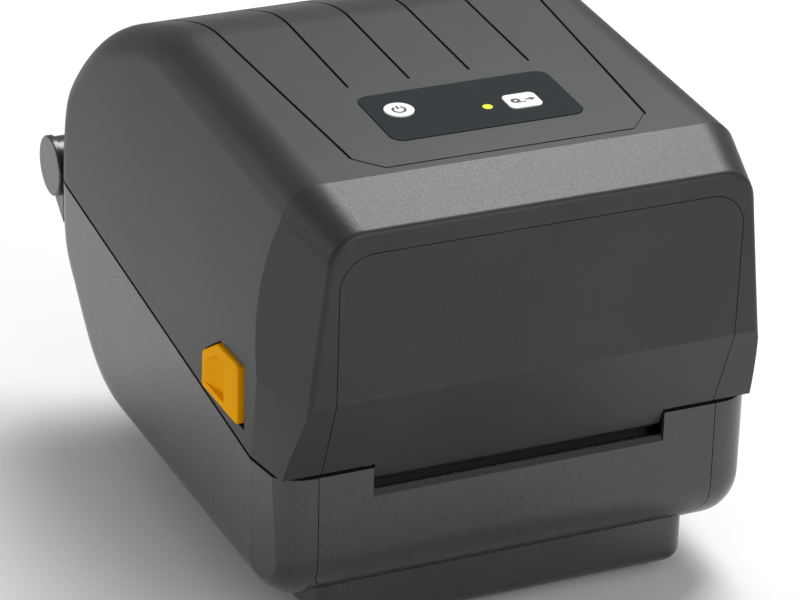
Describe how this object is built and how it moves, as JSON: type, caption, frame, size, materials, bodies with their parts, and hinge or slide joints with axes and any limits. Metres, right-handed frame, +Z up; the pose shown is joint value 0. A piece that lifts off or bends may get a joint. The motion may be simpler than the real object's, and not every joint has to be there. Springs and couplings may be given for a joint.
{
  "type": "desktop barcode label printer",
  "caption": "Desktop thermal-transfer label printer with a hinged cover, amber side latches, a front label slot and a control label on top.",
  "frame": {"origin": "on the table, under the middle of the printer's overall box", "axes": "+Z up, -Y towards the front with the label slot, +X to the right seen from the front"},
  "size_m": [0.197, 0.267, 0.1907],
  "materials": {
    "case_plastic": "fine texture",
    "inner_plastic": "matt",
    "gear_plastic": "natural",
    "amber_plastic": "satin",
    "black_plastic": "matt",
    "steel": "zinc plated",
    "aluminium": "milled",
    "ceramic": "glazed",
    "rubber": "matt",
    "circuit_board": "lacquered",
    "label_film": "semi-gloss film",
    "white_key": "satin",
    "clear_pipe": "clear"
  },
  "bodies": {
    "base": {"base_tub": "case_plastic", "base_front_panel": "case_plastic", "bottom_plate": "case_plastic", "bottom_screws": "steel", "rubber_feet": "rubber", "hinge_pins": "steel", "hinge_caps": "case_plastic", "media_tray": "inner_plastic", "side_cover_left": "inner_plastic", "side_cover_right": "inner_plastic", "gear_side_plate": "steel", "right_side_plate": "steel", "front_beam": "steel", "platen_bearings": "gear_plastic", "idler_axle": "steel", "stepper_motor": "steel", "motor_screws": "steel", "tear_bar": "steel", "main_board": "circuit_board", "socket_panel": "case_plastic", "power_inlet": "black_plastic", "usb_port": "steel", "socket_board": "circuit_board"},
    "cover": {"cover_shell": "case_plastic", "cover_front_panel": "case_plastic", "control_label": "label_film", "light_pipe": "clear_pipe", "control_board": "circuit_board", "ribbon_carriage": "inner_plastic", "carriage_screws": "steel", "ribbon_axles": "steel", "head_pivot_pin": "steel"},
    "latches": {"latch_left": "amber_plastic", "latch_right": "amber_plastic", "latch_bar": "steel"},
    "power_button": {"power_key": "white_key"},
    "feed_button": {"feed_key": "white_key"},
    "print_head": {"thermal_head": "ceramic", "head_heatsink": "aluminium", "head_bracket": "steel", "head_springs": "steel"},
    "supply": {"supply_spindle": "inner_plastic"},
    "takeup": {"takeup_spindle": "inner_plastic", "takeup_gear": "gear_plastic"},
    "middle_wheel": {"middle_gear": "gear_plastic"},
    "transfer_wheel": {"transfer_gear": "gear_plastic"},
    "platen": {"platen_shaft": "steel", "platen_rubber": "rubber", "platen_gear": "gear_plastic"},
    "idler": {"idler_gear": "gear_plastic"},
    "motor_rotor": {"motor_pinion": "steel", "motor_shaft": "steel"},
    "left_holder": {"roll_holder_left": "inner_plastic"},
    "right_holder": {"roll_holder_right": "inner_plastic"},
    "holder_wheel": {"roll_holder_pinion": "gear_plastic"},
    "left_guide": {"media_guide_left": "inner_plastic"},
    "right_guide": {"media_guide_right": "inner_plastic"},
    "guide_wheel": {"media_guide_pinion": "gear_plastic"},
    "sensor": {"media_sensor": "black_plastic"}
  },
  "joints": [
    {"name": "cover_hinge", "type": "hinge", "parent": "base", "child": "cover", "pos_m": [0, 0.1211, 0.0994], "axis": [-1, 0, 0], "range_deg": [0, 95]},
    {"name": "latch_slide", "type": "slide", "parent": "cover", "child": "latches", "axis": [0, -1, 0], "range_m": [0, 0.003], "stiffness_N_per_m": 600, "springref_m": -0.002},
    {"name": "power_press", "type": "slide", "parent": "cover", "child": "power_button", "axis": [0, 0.0628, -0.998], "range_m": [0, 0.0008], "stiffness_N_per_m": 900, "springref_m": -0.0006},
    {"name": "feed_press", "type": "slide", "parent": "cover", "child": "feed_button", "axis": [0, 0.0628, -0.998], "range_m": [0, 0.0008], "stiffness_N_per_m": 900, "springref_m": -0.0006},
    {"name": "head_pivot", "type": "hinge", "parent": "cover", "child": "print_head", "pos_m": [0, -0.07, 0.078], "axis": [-1, 0, 0], "range_deg": [0, 4], "stiffness_Nm_per_rad": 4, "springref_deg": -8.59, "deforming": ["head_springs"]},
    {"name": "supply_spin", "type": "hinge", "parent": "cover", "child": "supply", "pos_m": [0, -0.052, 0.116], "axis": [1, 0, 0], "continuous": true},
    {"name": "takeup_spin", "type": "hinge", "parent": "cover", "child": "takeup", "pos_m": [0, -0.09, 0.144], "axis": [1, 0, 0], "continuous": true},
    {"name": "middle_spin", "type": "hinge", "parent": "cover", "child": "middle_wheel", "pos_m": [0, -0.08899, 0.10961], "axis": [1, 0, 0], "continuous": true},
    {"name": "transfer_spin", "type": "hinge", "parent": "cover", "child": "transfer_wheel", "pos_m": [0, -0.09839, 0.07819], "axis": [1, 0, 0], "continuous": true},
    {"name": "platen_spin", "type": "hinge", "parent": "base", "child": "platen", "pos_m": [0, -0.104, 0.0574], "axis": [1, 0, 0], "continuous": true},
    {"name": "idler_spin", "type": "hinge", "parent": "base", "child": "idler", "pos_m": [0, -0.09024, 0.04776], "axis": [1, 0, 0], "continuous": true},
    {"name": "motor_spin", "type": "hinge", "parent": "base", "child": "motor_rotor", "pos_m": [0, -0.07383, 0.03136], "axis": [1, 0, 0], "continuous": true},
    {"name": "holder_slide_left", "type": "slide", "parent": "base", "child": "left_holder", "axis": [1, 0, 0], "range_m": [0, 0.045]},
    {"name": "holder_slide_right", "type": "slide", "parent": "base", "child": "right_holder", "axis": [-1, 0, 0], "range_m": [0, 0.045]},
    {"name": "holder_wheel_spin", "type": "hinge", "parent": "base", "child": "holder_wheel", "pos_m": [0, 0.02, 0.018], "axis": [0, 0, 1], "range_deg": [0, 323]},
    {"name": "guide_slide_left", "type": "slide", "parent": "base", "child": "left_guide", "axis": [1, 0, 0], "range_m": [0, 0.042]},
    {"name": "guide_slide_right", "type": "slide", "parent": "base", "child": "right_guide", "axis": [-1, 0, 0], "range_m": [0, 0.042]},
    {"name": "guide_wheel_spin", "type": "hinge", "parent": "base", "child": "guide_wheel", "pos_m": [0, -0.068, 0.055], "axis": [0, 0, 1], "range_deg": [0, 345]},
    {"name": "sensor_slide", "type": "slide", "parent": "base", "child": "sensor", "axis": [1, 0, 0], "range_m": [-0.046, 0.046]}
  ],
  "couplings": [
    {"joint": "middle_spin", "follows": "takeup_spin", "ratio": -0.65385},
    {"joint": "transfer_spin", "follows": "takeup_spin", "ratio": 1.1333},
    {"joint": "idler_spin", "follows": "platen_spin", "ratio": -1.625},
    {"joint": "motor_spin", "follows": "platen_spin", "ratio": 5.1071},
    {"joint": "holder_slide_right", "follows": "holder_slide_left", "ratio": 1},
    {"joint": "holder_wheel_spin", "follows": "holder_slide_left", "rad_per_m": 125},
    {"joint": "guide_slide_right", "follows": "guide_slide_left", "ratio": 1},
    {"joint": "guide_wheel_spin", "follows": "guide_slide_left", "rad_per_m": 142.86}
  ]
}
